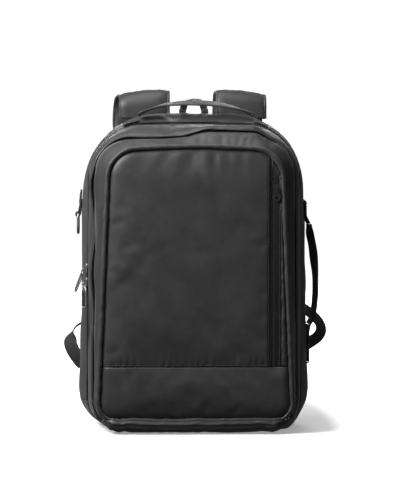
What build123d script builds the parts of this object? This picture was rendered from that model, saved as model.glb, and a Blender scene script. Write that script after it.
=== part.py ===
from build123d import *
import os

# Travel backpack, millimetres. X is to the right when looking at the front, the front panel faces -Y,
# the wearer's back is at +Y, and Z is up. The origin is on the floor, below the middle of the bag.

# ---- bag body: sections from front to back ------------------------------------------------------
# Depth, half width at the bottom and at the top, lowest and highest z, lower and upper corner
# radius, rise of the crown between the upper corners.
FRONT_SEAM = (-88, 138, 124, 19, 401, 34, 30, 4)
FRONT_FOLD = (-64, 147, 145, 4, 417, 42, 50, 5)
MAIN_ZIP = (-10, 154, 154, -0.4, 433, 44, 70, 6)
FULLEST = (45, 163, 163, -0.6, 446, 46, 92, 6)
BACK_SEAM = (88, 152, 152, 3, 434, 44, 84, 4)
SECTIONS = (FRONT_SEAM, FRONT_FOLD, MAIN_ZIP, FULLEST, BACK_SEAM)
FRONT_Y = FRONT_SEAM[0]
BACK_Y = BACK_SEAM[0]
WALL = 3
HINGE_Z = 19
LID_GAP = 0.4
BASE_TOP = 40
CORNER_Z = 330
BIG = 600

# ---- zips ---------------------------------------------------------------------------------------
ZIP_Y = MAIN_ZIP[0]
ZIP_BAND = 12
CHAIN_THICK = 2.2
CHAIN_INSET = 0.4
CHAIN_GAP = 1.2
SLIDER_LENGTH = 15
SLIDER_WIDTH = 10.6
PLATE = 1.5
RUN_FIT = 0.1
NECK = 0.8
BRIDGE_LENGTH = 9
BRIDGE_WIDTH = 2.4
BRIDGE_HEIGHT = 3.6
BRIDGE_WALL = 0.8
PULL_LENGTH = 36
PULL_WIDTH = 8
PULL_THICK = 1.6
PULL_NECK = 6
PIVOT_HEIGHT = 2.8
UPPER_SLIDER_Z = 230
LOWER_SLIDER_Z = 210
UPPER_PULL_TILT = 24
LAPTOP_ZIP_Y = 62
LAPTOP_ZIP_X = 162.95
LAPTOP_ZIP_LEAN = 7
LAPTOP_ZIP_RUN = (48, 326)
LAPTOP_BAND = 11.8
LAPTOP_SLIDER_Z = 122
POCKET_ZIP_X = 114.4
POCKET_ZIP_RUN = (94, 366)
POCKET_SLIDER_Z = 346
POCKET_CHAIN_LIFT = 2.6

# ---- front panel --------------------------------------------------------------------------------
PANEL_THICK = 6
STRIP_THICK = 4
STRIP_LOW_X = POCKET_ZIP_X + 6.6
PANEL_SEAM_Z = 92
SEAM_GAP = 0.3
FLY_X = 107.4
PIPING_RADIUS = 1.9
POCKET_WALL_Y = -66
POCKET_WALL = 1.6

# ---- inside -------------------------------------------------------------------------------------
DIVIDER_Y = 49
DIVIDER_THICK = 5
DIVIDER_TOP = 332
BACK_PANEL_THICK = 3.2
FRAME_SHEET_THICK = 1.8
STIFFENER_Z = (4, 7)

# ---- handles, tabs and the D-ring ---------------------------------------------------------------
WEBBING = 25
WEBBING_THICK = 1.8
TAB_WIDTH = 23
TAB_THICK = 2
TAB_LENGTH = 32
HANDLE_Y = 5
HANDLE_FEET = (-80, 86)
HANDLE_FOOT_Z = 449.6
HANDLE_PEAK = 468
HANDLE_THICK = 3
SIDE_HANDLE_Y = 30
SIDE_HANDLE_X = 167.5
SIDE_HANDLE_Z = (146, 292)
HANG_LOOP_Y = 60
HANG_LOOP_WIDTH = 12
D_RING_X = -164
D_RING_Y = 44
D_RING_Z = 306
D_RING_ROD = 2
D_RING_LIFT = 3.4

# ---- shoulder straps ----------------------------------------------------------------------------
STRAP_X = 71
STRAP_WIDTH = 72
STRAP_THICK = 11
STRAP_PATH = ((96, 443), (97, 480), (148, 480), (152, 380), (140, 270), (121, 202))
STRAP_RADII = (20, 26, 160, 160)
STRAP_END_X = 94
STRAP_END_HALF = 25
LOCK_WIDTH = 36
LOCK_HEIGHT = 24
LOCK_THICK = 4
BAR = 5.6
LINER_THICK = 1.6
LOWER_WEB_START = (98, 114, 176)
LOWER_WEB_BULGE = {"left": (187, 118), "right": (192, 138)}
LOWER_WEB_END = (164, 84, 74)
ANCHOR_END = (146, 56)


def section(y, half_low, half_high, low, high, r_low, r_high, crown, inset=0):
    """Closed outline of the bag at one depth, moved inwards by inset."""
    left_low = (-half_low + inset, low + inset)
    right_low = (half_low - inset, low + inset)
    right_high = (half_high - inset, high - inset)
    left_high = (-half_high + inset, high - inset)
    with BuildSketch(Plane.XZ.offset(-y)) as outline:
        with BuildLine():
            Line(left_low, right_low)
            Line(right_low, right_high)
            ThreePointArc(right_high, (0, high + crown - inset), left_high)
            Line(left_high, left_low)
        make_face()
        fillet(outline.vertices().sort_by(Axis.Y)[:2], r_low - inset)
        fillet(outline.vertices().sort_by(Axis.Y)[-2:], r_high - inset)
    return outline.sketch


def box_between(low, high, mode=Mode.ADD):
    """A box from its low corner to its high corner."""
    middle = tuple((a + b) / 2 for a, b in zip(low, high))
    with Locations(middle):
        Box(high[0] - low[0], high[1] - low[1], high[2] - low[2], mode=mode)


def boxes(*regions):
    """One part made of several boxes, used to cut pieces from a larger volume."""
    with BuildPart() as area:
        for low, high in regions:
            box_between(low, high)
    return area.part


def save(piece, label):
    """Name a finished piece and write its STEP file."""
    piece.part.label = label
    export_step(piece.part, f"parts/{label}.step")


def cut_piece(label, volume, *regions):
    """The part of a volume that lies inside one or more boxes."""
    with BuildPart() as piece:
        add(volume)
        add(boxes(*regions), mode=Mode.INTERSECT)
    save(piece, label)


os.makedirs("parts", exist_ok=True)

# ---- the sewn body ------------------------------------------------------------------------------
with BuildPart() as outer_volume:
    loft([section(*values) for values in SECTIONS])

with BuildPart() as inner_volume:
    reaches = (-1, 0, 0, 0, 1)
    loft([section(v[0] + reach, *v[1:], inset=WALL) for v, reach in zip(SECTIONS, reaches)])

with BuildPart() as shell:
    add(outer_volume.part)
    add(inner_volume.part, mode=Mode.SUBTRACT)

front_of_zip = ZIP_Y - ZIP_BAND / 2
behind_zip = ZIP_Y + ZIP_BAND / 2
base_edge = HINGE_Z - LID_GAP
lid_edge = HINGE_Z + LID_GAP

cut_piece(
    "base_panel",
    shell.part,
    ((-BIG, -100, 0), (BIG, behind_zip, base_edge)),
    ((-BIG, behind_zip, 0), (BIG, 100, BASE_TOP)),
)
cut_piece("rear_gusset_left", shell.part, ((-BIG, behind_zip, BASE_TOP), (0, 100, CORNER_Z)))
cut_piece("rear_gusset_top", shell.part, ((-BIG, behind_zip, CORNER_Z), (BIG, 100, BIG)))
cut_piece("front_gusset_left", shell.part, ((-BIG, -100, lid_edge), (0, front_of_zip, CORNER_Z)))
cut_piece("front_gusset_right", shell.part, ((0, -100, lid_edge), (BIG, front_of_zip, CORNER_Z)))
cut_piece("front_gusset_top", shell.part, ((-BIG, -100, CORNER_Z), (BIG, front_of_zip, BIG)))

# The right rear gusset is slit for the zip of the laptop sleeve.
lean = Vector(1, 0, 0).rotate(Axis.Z, LAPTOP_ZIP_LEAN)
laptop_zip_plane = Plane((LAPTOP_ZIP_X, LAPTOP_ZIP_Y, 0), x_dir=Vector(0, 0, 1).cross(lean), z_dir=lean)
slit_low, slit_high = LAPTOP_ZIP_RUN

with BuildPart(laptop_zip_plane) as slit:
    box_between((-LAPTOP_BAND / 2, slit_low, -20), (LAPTOP_BAND / 2, slit_high, 20))

with BuildPart() as rear_gusset_right:
    add(shell.part)
    add(boxes(((0, behind_zip, BASE_TOP), (BIG, 100, CORNER_Z))), mode=Mode.INTERSECT)
    add(slit.part, mode=Mode.SUBTRACT)
save(rear_gusset_right, "rear_gusset_right")


def zip_ring(label, y_low, y_high, z_low):
    """One half of the main zip: a band that follows the bag's outline."""
    with BuildPart() as ring:
        extrude(section(y_high, *MAIN_ZIP[1:], inset=CHAIN_INSET), amount=y_high - y_low)
        extrude(
            section(y_high, *MAIN_ZIP[1:], inset=CHAIN_INSET + CHAIN_THICK),
            amount=y_high - y_low,
            mode=Mode.SUBTRACT,
        )
        box_between((-BIG, -100, z_low), (BIG, 100, BIG), mode=Mode.INTERSECT)
    save(ring, label)


zip_ring("main_zip_front_half", front_of_zip, ZIP_Y - CHAIN_GAP / 2, lid_edge)
zip_ring("main_zip_rear_half", ZIP_Y + CHAIN_GAP / 2, behind_zip, base_edge)


def straight_zip(label, plane, low, high, band):
    """Two halves of a closed zip along the local Y direction."""
    half = (band - CHAIN_GAP) / 2
    with BuildPart(plane) as chain:
        for side in (-1, 1):
            with Locations((side * (CHAIN_GAP + half) / 2, (low + high) / 2, -CHAIN_INSET - CHAIN_THICK / 2)):
                Box(half, high - low, CHAIN_THICK)
    save(chain, label)


straight_zip("laptop_zip", laptop_zip_plane, slit_low, slit_high, LAPTOP_BAND - 0.2)

# ---- front panel and its pocket -----------------------------------------------------------------
with BuildPart() as panel_volume:
    extrude(section(*FRONT_SEAM, inset=2 * PIPING_RADIUS), amount=PANEL_THICK)


def panel_piece(label, low, high, thickness=PANEL_THICK):
    """The part of the padded front panel between two corners in X and Z."""
    cut_piece(label, panel_volume.part, ((low[0], FRONT_Y - thickness, low[1]), (high[0], FRONT_Y, high[1])))


panel_piece("front_panel", (-BIG, PANEL_SEAM_Z + SEAM_GAP), (FLY_X, BIG))
panel_piece("front_panel_lower", (-BIG, lid_edge), (BIG, PANEL_SEAM_Z - SEAM_GAP))
panel_piece("front_side_strip", (STRIP_LOW_X, PANEL_SEAM_Z + SEAM_GAP), (BIG, BIG), thickness=STRIP_THICK)

with BuildPart() as front_piping:
    extrude(section(*FRONT_SEAM), amount=2 * PIPING_RADIUS)
    extrude(section(*FRONT_SEAM, inset=2 * PIPING_RADIUS), amount=2 * PIPING_RADIUS, mode=Mode.SUBTRACT)
    chamfer(front_piping.faces().sort_by(Axis.Y)[0].edges(), PIPING_RADIUS * 0.6)
    box_between((-BIG, -100, lid_edge), (BIG, 0, BIG), mode=Mode.INTERSECT)
save(front_piping, "front_piping")

pocket_zip_plane = Plane((POCKET_ZIP_X, FRONT_Y - POCKET_CHAIN_LIFT, 0), x_dir=(1, 0, 0), z_dir=(0, -1, 0))
straight_zip("pocket_zip", pocket_zip_plane, *POCKET_ZIP_RUN, 2 * (STRIP_LOW_X - POCKET_ZIP_X) - 0.4)


def inner_wall(label, y_low, y_high, z_low, z_high, half_width=BIG):
    """A flat panel that fills the inside of the bag at one depth."""
    cut_piece(label, inner_volume.part, ((-half_width, y_low, z_low), (half_width, y_high, z_high)))


back_panel_y = BACK_Y - BACK_PANEL_THICK
frame_y = back_panel_y - 0.2
inner_wall("pocket_lining", POCKET_WALL_Y, POCKET_WALL_Y + POCKET_WALL, lid_edge + 3, BIG)
inner_wall("laptop_divider", DIVIDER_Y, DIVIDER_Y + DIVIDER_THICK, 0, DIVIDER_TOP)
inner_wall("back_panel", back_panel_y, BACK_Y, 0, BIG)
inner_wall("frame_sheet", frame_y - FRAME_SHEET_THICK, frame_y, 30, 400, half_width=125)
inner_wall("base_stiffener", behind_zip, DIVIDER_Y - 4, *STIFFENER_Z, half_width=112)


def back_pad(label, low, high, thickness, radius):
    """A foam pad sewn on the outside of the back panel, given by its X and Z corners."""
    with BuildPart() as pad:
        with BuildSketch(Plane.XZ.offset(-BACK_Y)):
            with Locations(((low[0] + high[0]) / 2, (low[1] + high[1]) / 2)):
                RectangleRounded(high[0] - low[0], high[1] - low[1], radius)
        extrude(amount=-thickness)
        fillet(pad.faces().sort_by(Axis.Y)[-1].edges(), thickness * 0.6)
    save(pad, label)


back_pad("back_pad_left", (-122, 116), (-12, 382), 9, 22)
back_pad("back_pad_right", (12, 116), (122, 382), 9, 22)
back_pad("lumbar_pad", (-118, 44), (118, 106), 9, 22)
back_pad("strap_yoke", (-108, 392), (108, 438.4), 3, 12)

# ---- webbing sewn on the outside, and the handles -----------------------------------------------
with BuildPart() as outer_skin:
    loft([section(*values, inset=-TAB_THICK) for values in SECTIONS])
    add(outer_volume.part, mode=Mode.SUBTRACT)

foot_left, foot_right = HANDLE_FEET
side_low, side_high = SIDE_HANDLE_Z
top_tab_y = (HANDLE_Y - TAB_WIDTH / 2, HANDLE_Y + TAB_WIDTH / 2)
side_tab_y = (SIDE_HANDLE_Y - TAB_WIDTH / 2, SIDE_HANDLE_Y + TAB_WIDTH / 2)
cut_piece(
    "top_handle_tabs",
    outer_skin.part,
    ((foot_left - TAB_LENGTH, top_tab_y[0], 400), (foot_left - 1, top_tab_y[1], 480)),
    ((foot_right + 1, top_tab_y[0], 400), (foot_right + TAB_LENGTH, top_tab_y[1], 480)),
)
cut_piece(
    "side_handle_tabs",
    outer_skin.part,
    ((100, side_tab_y[0], side_low - TAB_LENGTH), (200, side_tab_y[1], side_low - 0.6)),
    ((100, side_tab_y[0], side_high + 0.6), (200, side_tab_y[1], side_high + TAB_LENGTH)),
)
cut_piece(
    "hang_loop_tab",
    outer_skin.part,
    ((-24, HANG_LOOP_Y - HANG_LOOP_WIDTH / 2, 430), (24, HANG_LOOP_Y + HANG_LOOP_WIDTH / 2, 480)),
)


def webbing_arch(label, plane, points, radii, thickness, width):
    """A strip of webbing that follows a path in a plane, with its width across the plane."""
    with BuildPart() as strip:
        with BuildSketch(plane):
            with BuildLine() as path:
                FilletPolyline(*points, radius=radii)
            trace(path.edges(), thickness)
        extrude(amount=width / 2, both=True)
    save(strip, label)


webbing_arch(
    "top_handle",
    Plane.XZ.offset(-HANDLE_Y),
    (
        (foot_left, HANDLE_FOOT_Z),
        (-48, HANDLE_PEAK - 4),
        (8, HANDLE_PEAK),
        (62, HANDLE_PEAK - 7),
        (foot_right, HANDLE_FOOT_Z),
    ),
    (40, 120, 40),
    HANDLE_THICK,
    WEBBING,
)
webbing_arch(
    "side_handle",
    Plane.XZ.offset(-SIDE_HANDLE_Y),
    (
        (SIDE_HANDLE_X, side_low),
        (SIDE_HANDLE_X + 9, side_low + 26),
        (SIDE_HANDLE_X + 12, side_low + 82),
        (SIDE_HANDLE_X + 8, side_high - 32),
        (SIDE_HANDLE_X, side_high),
    ),
    (40, 200, 40),
    HANDLE_THICK,
    WEBBING,
)
webbing_arch(
    "hang_loop",
    Plane.XZ.offset(-HANG_LOOP_Y),
    ((-15, 457.6), (-9, 472), (9, 473), (16, 457.6)),
    (6, 6),
    WEBBING_THICK,
    HANG_LOOP_WIDTH,
)

# ---- D-ring on the left side --------------------------------------------------------------------
ring_wall = Plane((D_RING_X, D_RING_Y, D_RING_Z), x_dir=(0, -1, 0), z_dir=(-1, 0, 0))
with BuildPart(ring_wall) as d_ring_keeper:
    with Locations((0, 4, D_RING_LIFT)):
        Box(22, 18, 2 * D_RING_LIFT - 0.2)
    with Locations(Location((0, 0, D_RING_LIFT), (0, 90, 0))):
        Cylinder(D_RING_ROD + 0.1, 30, mode=Mode.SUBTRACT)
save(d_ring_keeper, "d_ring_keeper")

ring_plane = Plane((D_RING_X - D_RING_LIFT, D_RING_Y, D_RING_Z), x_dir=(0, -1, 0), z_dir=(-1, 0, 0))
with BuildPart() as d_ring:
    with BuildLine(ring_plane) as bow:
        FilletPolyline((-15, 0), (15, 0), (15, -27), (-15, -27), radius=(4, 4, 12, 12), close=True)
    with BuildSketch(Plane(bow.line @ 0, z_dir=bow.line % 0)):
        Circle(D_RING_ROD)
    sweep(path=bow.wires()[0])
save(d_ring, "d_ring")


# ---- zip sliders and pulls ----------------------------------------------------------------------
def along(edge, direction):
    """True when a straight edge runs along a direction."""
    return abs(edge.tangent_at(0).dot(direction)) > 0.99


def zip_slider(label, plane):
    """A slider on the chain: local X runs across the chain, Y along it and Z away from the bag."""
    inner_top = -CHAIN_INSET - CHAIN_THICK - RUN_FIT
    outer_low = -CHAIN_INSET + RUN_FIT
    outer_top = outer_low + PLATE
    half_bridge = BRIDGE_WIDTH / 2
    with BuildPart(plane) as slider:
        for low in (inner_top - PLATE, outer_low):
            box_between(
                (-SLIDER_WIDTH / 2, -SLIDER_LENGTH / 2, low),
                (SLIDER_WIDTH / 2, SLIDER_LENGTH / 2, low + PLATE),
            )
        chamfer(slider.edges().filter_by(lambda edge: along(edge, plane.z_dir)), 2.6)
        box_between((-NECK / 2, 1, inner_top - 0.2), (NECK / 2, SLIDER_LENGTH / 2 - 1, outer_low + 0.2))
        box_between(
            (-half_bridge, -BRIDGE_LENGTH / 2, outer_top - 0.2),
            (half_bridge, BRIDGE_LENGTH / 2, outer_top + BRIDGE_HEIGHT),
        )
        box_between(
            (-BRIDGE_WIDTH, -BRIDGE_LENGTH / 2 + BRIDGE_WALL, outer_top),
            (BRIDGE_WIDTH, BRIDGE_LENGTH / 2 - BRIDGE_WALL, outer_top + BRIDGE_HEIGHT - BRIDGE_WALL),
            mode=Mode.SUBTRACT,
        )
    save(slider, label)


def pivot_plane(plane, tilt=0):
    """The plane of a pull: its origin is the pivot under the slider's bridge."""
    pivot = plane.origin + plane.z_dir * PIVOT_HEIGHT
    turned = plane.z_dir.rotate(Axis((0, 0, 0), plane.x_dir), -tilt)
    return Plane(pivot, x_dir=plane.x_dir, z_dir=turned)


def bridge_window(neck):
    """Cut the window at the top of a pull that the slider's bridge passes through."""
    half_window = BRIDGE_WIDTH / 2 + 0.4
    box_between((-half_window, -neck, -PULL_THICK), (half_window, -0.8, PULL_THICK), mode=Mode.SUBTRACT)


def zip_pull(label, plane):
    """A slotted metal pull that hangs along local -Y."""
    with BuildPart(plane) as pull:
        box_between((-PULL_WIDTH / 2, -PULL_LENGTH, -PULL_THICK / 2), (PULL_WIDTH / 2, 0.8, PULL_THICK / 2))
        corners = pull.edges().filter_by(lambda edge: along(edge, plane.z_dir))
        corners = corners.sort_by(lambda edge: (edge.center() - plane.origin).dot(plane.y_dir))
        fillet(corners[:2], 3)
        bridge_window(PULL_NECK)
        box_between((-1.4, 4 - PULL_LENGTH, -PULL_THICK), (1.4, -2 * PULL_NECK, PULL_THICK), mode=Mode.SUBTRACT)
    save(pull, label)


left_wall = -MAIN_ZIP[1]
upper_plane = Plane((left_wall, ZIP_Y, UPPER_SLIDER_Z), x_dir=(0, -1, 0), z_dir=(-1, 0, 0))
lower_plane = Plane((left_wall, ZIP_Y, LOWER_SLIDER_Z), x_dir=(0, -1, 0), z_dir=(-1, 0, 0))
laptop_plane = Plane(
    laptop_zip_plane.origin + laptop_zip_plane.y_dir * LAPTOP_SLIDER_Z,
    x_dir=laptop_zip_plane.x_dir,
    z_dir=laptop_zip_plane.z_dir,
)
pocket_plane = Plane(
    pocket_zip_plane.origin + pocket_zip_plane.y_dir * POCKET_SLIDER_Z,
    x_dir=pocket_zip_plane.x_dir,
    z_dir=pocket_zip_plane.z_dir,
)
zip_slider("main_slider_upper", upper_plane)
zip_slider("main_slider_lower", lower_plane)
zip_slider("laptop_slider", laptop_plane)
zip_slider("pocket_slider", pocket_plane)
zip_pull("main_pull_upper", pivot_plane(upper_plane, tilt=UPPER_PULL_TILT))
zip_pull("main_pull_lower", pivot_plane(lower_plane))
zip_pull("laptop_pull", pivot_plane(laptop_plane))

# The pocket zip has a small round pull.
with BuildPart(pivot_plane(pocket_plane)) as pocket_pull:
    with Locations((0, -9.5, 0)):
        Cylinder(6, PULL_THICK)
    box_between((-3.6, -6, -PULL_THICK / 2), (3.6, 0.8, PULL_THICK / 2))
    bridge_window(PULL_NECK)
    with Locations((0, -11, 0)):
        Cylinder(2, 4, mode=Mode.SUBTRACT)
save(pocket_pull, "pocket_pull")

# ---- shoulder straps ----------------------------------------------------------------------------
with BuildPart() as strap_sweep:
    with BuildSketch(Plane.YZ):
        with BuildLine() as strap_line:
            FilletPolyline(*STRAP_PATH, radius=STRAP_RADII)
        trace(strap_line.edges(), STRAP_THICK)
    extrude(amount=BIG / 2, both=True)

top_in, top_out = STRAP_X - STRAP_WIDTH / 2, STRAP_X + STRAP_WIDTH / 2
end_in, end_out = STRAP_END_X - STRAP_END_HALF, STRAP_END_X + STRAP_END_HALF
curve_top, end_z = 340, STRAP_PATH[-1][1] - 6

(end_y, end_height), (last_y, last_height) = STRAP_PATH[-2], STRAP_PATH[-1]
fall = Vector(0, last_y - end_y, last_height - end_height).normalized()
lock_middle = Vector(0, last_y, last_height) + fall * (LOCK_HEIGHT / 2 + 1)


# Thin layers on the inner and outer face of the pads: the mesh liner and the load webbing.
with BuildSketch() as layer_sketch:
    with BuildLine() as layer_line:
        FilletPolyline(*STRAP_PATH, radius=STRAP_RADII)
    trace(layer_line.edges(), STRAP_THICK + 2 * LINER_THICK)
    trace(layer_line.edges(), STRAP_THICK + 0.1, mode=Mode.SUBTRACT)
inner_layer, outer_layer = layer_sketch.faces().sort_by(SortBy.AREA)
half_web = WEBBING / 2


def strap_band(label, layer, near_y, low_z, low_x, high_z, high_x):
    """A thin layer on one face of a shoulder pad, from a low edge to a high edge."""
    with BuildPart() as window:
        with BuildSketch(Plane.XZ.offset(-near_y)):
            Polygon((low_x[0], low_z), (low_x[1], low_z), (high_x[1], high_z), (high_x[0], high_z), align=None)
        extrude(amount=-BIG)
    with BuildPart() as band:
        with BuildSketch(Plane.YZ):
            add(layer)
        extrude(amount=BIG / 2, both=True)
        add(window.part, mode=Mode.INTERSECT)
    save(band, label)


def strap_side(side, name):
    """Everything that swings with one shoulder strap; side is -1 on the left and 1 on the right."""
    with BuildPart() as shoulder_pad:
        with BuildSketch(Plane.XZ):
            with BuildLine():
                Polyline(
                    (side * top_in, curve_top), (side * top_in, 520), (side * top_out, 520), (side * top_out, curve_top)
                )
                Spline((side * top_out, curve_top), (side * end_out, end_z), tangents=((0, -1), (0, -1)))
                Line((side * end_out, end_z), (side * end_in, end_z))
                Spline((side * end_in, end_z), (side * top_in, curve_top), tangents=((0, 1), (0, 1)))
            make_face()
        extrude(amount=-BIG)
        add(strap_sweep.part, mode=Mode.INTERSECT)
    save(shoulder_pad, f"shoulder_pad_{name}")

    low_in, low_out = side * (end_in + 5), side * (end_out - 5)
    high_in, high_out = side * (top_in + 5), side * (top_out - 5)
    strap_band(f"shoulder_liner_{name}", inner_layer, 108, end_z + 8, (low_in, low_out), 452, (high_in, high_out))
    low_x = (side * (STRAP_END_X - half_web), side * (STRAP_END_X + half_web))
    high_x = (side * (STRAP_X - half_web), side * (STRAP_X + half_web))
    strap_band(f"strap_webbing_{name}", outer_layer, 130, end_z + 5, low_x, 455, high_x)

    centre = lock_middle + Vector(side * STRAP_END_X, 0, 0)
    lock_plane = Plane(centre, x_dir=(1, 0, 0), z_dir=Vector(1, 0, 0).cross(fall))
    slot = (LOCK_HEIGHT - 3 * BAR) / 2
    with BuildPart(lock_plane) as ladder_lock:
        Box(LOCK_WIDTH, LOCK_HEIGHT, LOCK_THICK)
        chamfer(ladder_lock.edges().filter_by(lambda edge: along(edge, lock_plane.z_dir)), 3)
        for shift in (-(slot + BAR) / 2, (slot + BAR) / 2):
            with Locations((0, shift, 0)):
                Box(WEBBING + 2, slot, 2 * LOCK_THICK, mode=Mode.SUBTRACT)
    save(ladder_lock, f"ladder_lock_{name}")

    # The lower webbing runs in a plane that holds the X direction and leans towards the bag.
    start, end = Vector(*LOWER_WEB_START), Vector(*LOWER_WEB_END)
    down = Vector(0, end.Y - start.Y, end.Z - start.Z).normalized()
    web_plane = Plane((0, start.Y, start.Z), x_dir=(side, 0, 0), z_dir=Vector(side, 0, 0).cross(down))
    bulge_x, bulge_z = LOWER_WEB_BULGE[name]
    bulge_drop = (bulge_z - start.Z) / down.Z
    end_drop = (end.Z - start.Z) / down.Z
    anchor_drop = (ANCHOR_END[1] - start.Z) / down.Z
    with BuildPart() as lower_webbing:
        with BuildSketch(web_plane):
            with BuildLine() as path:
                FilletPolyline((start.X, 0), (bulge_x - 12, bulge_drop - 16), (bulge_x, bulge_drop),
                               (end.X, end_drop), radius=(24, 18))
            trace(path.edges(), WEBBING_THICK)
        extrude(amount=WEBBING / 2, both=True)
    save(lower_webbing, f"lower_webbing_{name}")

    with BuildPart() as strap_anchor:
        with BuildSketch(web_plane):
            with BuildLine() as path:
                Line((end.X - 0.5, end_drop + 0.5), (ANCHOR_END[0], anchor_drop))
            trace(path.edges(), TAB_THICK + 1)
        extrude(amount=WEBBING / 2, both=True)
        add(outer_volume.part, mode=Mode.SUBTRACT)
    save(strap_anchor, f"strap_anchor_{name}")


strap_side(-1, "left")
strap_side(1, "right")
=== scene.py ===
import bpy
import bmesh
from math import copysign, cos, dist, exp, hypot, pi, radians, sin, sqrt, tan
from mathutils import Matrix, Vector, kdtree, noise


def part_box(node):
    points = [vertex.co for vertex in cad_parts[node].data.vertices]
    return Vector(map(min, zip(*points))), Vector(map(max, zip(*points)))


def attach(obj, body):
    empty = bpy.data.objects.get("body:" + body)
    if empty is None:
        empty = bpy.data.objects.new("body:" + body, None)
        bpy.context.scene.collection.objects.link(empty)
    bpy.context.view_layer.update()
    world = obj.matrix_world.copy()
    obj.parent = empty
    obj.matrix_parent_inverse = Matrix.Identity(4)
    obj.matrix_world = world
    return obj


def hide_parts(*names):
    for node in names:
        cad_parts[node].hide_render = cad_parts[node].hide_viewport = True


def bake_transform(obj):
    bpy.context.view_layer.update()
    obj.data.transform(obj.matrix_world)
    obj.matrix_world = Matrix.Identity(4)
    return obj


# Travel backpack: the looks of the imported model. Lengths are in millimetres until a mesh is made,
# in the model's own frame: X right, front at -Y, Z up.
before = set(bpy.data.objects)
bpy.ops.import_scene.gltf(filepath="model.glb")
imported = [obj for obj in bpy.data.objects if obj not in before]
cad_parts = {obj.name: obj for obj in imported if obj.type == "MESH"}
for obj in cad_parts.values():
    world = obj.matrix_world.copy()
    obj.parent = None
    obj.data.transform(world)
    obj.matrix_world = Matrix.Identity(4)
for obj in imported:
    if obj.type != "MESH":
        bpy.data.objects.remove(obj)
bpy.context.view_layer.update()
MM = 0.001

# ---- the bag's body, section by section
# Depth, half width at the bottom and top, lowest and highest z, lower and upper corner radius, crown.
SECTIONS = (
    (-88, 138, 124, 19, 402, 26, 38, 6),
    (-64, 144.5, 142, 4, 417, 42, 50, 5),
    (-10, 153.5, 151.5, -0.4, 433, 44, 74, 6),
    (45, 167.5, 160, -0.6, 446, 54, 108, 6),
    (88, 155, 150, 3, 434, 48, 96, 4),
)
FRONT_Y, ZIP_Y, BACK_Y = -88, -10, 88
HINGE_Z = 19
FRONT_CUT_Z, REAR_CUT_Z = HINGE_Z + 0.6, 40
WEB_WIDTH = 25
BAG_MIDDLE = (0, 0, 220)
PANEL_SEAM_Z = 96
FLY_X = 107.4
STRIP_X = 121
GUSSET_SEAM_Y = -62
CELL = 4.0


# ---- helpers for shapes
def hermite(a, b, slope_a, slope_b, t):
    """Cubic from a to b with the given end slopes."""
    t2, t3 = t * t, t * t * t
    start = (2 * t3 - 3 * t2 + 1) * a + (t3 - 2 * t2 + t) * slope_a
    return start + (3 * t2 - 2 * t3) * b + (t3 - t2) * slope_b


def sizes_at(y):
    """The outline's sizes at a depth, smooth from section to section."""
    rows = SECTIONS
    i = max(0, min(len(rows) - 2, sum(1 for r in rows[1:-1] if r[0] <= y)))
    a, b = rows[i], rows[i + 1]
    before, after = rows[max(i - 1, 0)], rows[min(i + 2, len(rows) - 1)]
    span = b[0] - a[0]
    t = max(0.0, min(1.0, (y - a[0]) / span))
    slope_a = [(q - p) / (b[0] - before[0]) * span for p, q in zip(before, b)]
    slope_b = [(q - p) / (after[0] - a[0]) * span for p, q in zip(a, after)]
    return [hermite(p, q, sa, sb, t) for p, q, sa, sb in zip(a, b, slope_a, slope_b)][1:]


def arc(cx, cz, radius, start, end, steps=14):
    """Points on an arc, in degrees."""
    return [
        (cx + radius * cos(radians(start + (end - start) * k / steps)),
         cz + radius * sin(radians(start + (end - start) * k / steps)))
        for k in range(steps + 1)
    ]


def outline(y, inset=0.0):
    """The closed outline of the bag at a depth, clockwise from the middle of the bottom to the left."""
    half_low, half_high, low, high, r_low, r_high, crown = sizes_at(y)
    half_low, half_high = half_low - inset, half_high - inset
    low, high = low + inset, high - inset
    r_low, r_high = max(r_low - inset, 1), max(r_high - inset, 1)
    points = [(0, low)]
    points += arc(-half_low + r_low, low + r_low, r_low, 270, 180)
    points += arc(-half_high + r_high, high - r_high, r_high, 180, 90)
    points += [(x * (half_high - r_high) / 4, high) for x in range(-3, 4)]
    points += arc(half_high - r_high, high - r_high, r_high, 90, 0)
    points += arc(half_low - r_low, low + r_low, r_low, 0, -90)
    lifted = []
    for x, z in points:
        near_top = max(0.0, (z - (high - r_high)) / r_high)
        lifted.append((x, z + crown * near_top * max(0.0, 1 - (x / half_high) ** 2)))
    return lifted


def resample(points, count):
    """Evenly spaced points along a polyline."""
    lengths = [0.0]
    for a, b in zip(points, points[1:]):
        lengths.append(lengths[-1] + dist(a, b))
    out, j = [], 0
    for k in range(count):
        target = lengths[-1] * k / (count - 1)
        while j < len(points) - 2 and lengths[j + 1] < target:
            j += 1
        t = (target - lengths[j]) / max(lengths[j + 1] - lengths[j], 1e-9)
        out.append(tuple(p + (q - p) * t for p, q in zip(points[j], points[j + 1])))
    return out


def upper_run(y, z_cut, count, inset=0.0):
    """The outline above z_cut, from the left side over the top to the right side."""
    points = outline(y, inset)
    dense = resample(points + points[:1], 1200)
    keep = [p for p in dense if p[1] >= z_cut]
    keep[0], keep[-1] = (keep[0][0], z_cut), (keep[-1][0], z_cut)
    return resample(keep, count)


def lower_run(y, z_cut, count, inset=0.0):
    """The outline below z_cut, from the left side under the bag to the right side."""
    points = outline(y, inset)
    dense = resample(points + points[:1], 1200)
    left = next(i for i, p in enumerate(dense) if p[1] > z_cut)
    right = next(i for i, p in enumerate(dense[::-1]) if p[1] > z_cut)
    return resample(dense[:left][::-1] + dense[::-1][:right], count)


def steps_between(low, high, cell=CELL):
    """Evenly spaced values from low to high, about one cell apart."""
    count = max(2, round((high - low) / cell) + 1)
    return [low + (high - low) * k / (count - 1) for k in range(count)]


def smooth_step(t):
    """0 below 0, 1 above 1, and smooth between."""
    t = max(0.0, min(1.0, t))
    return t * t * (3 - 2 * t)


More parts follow.
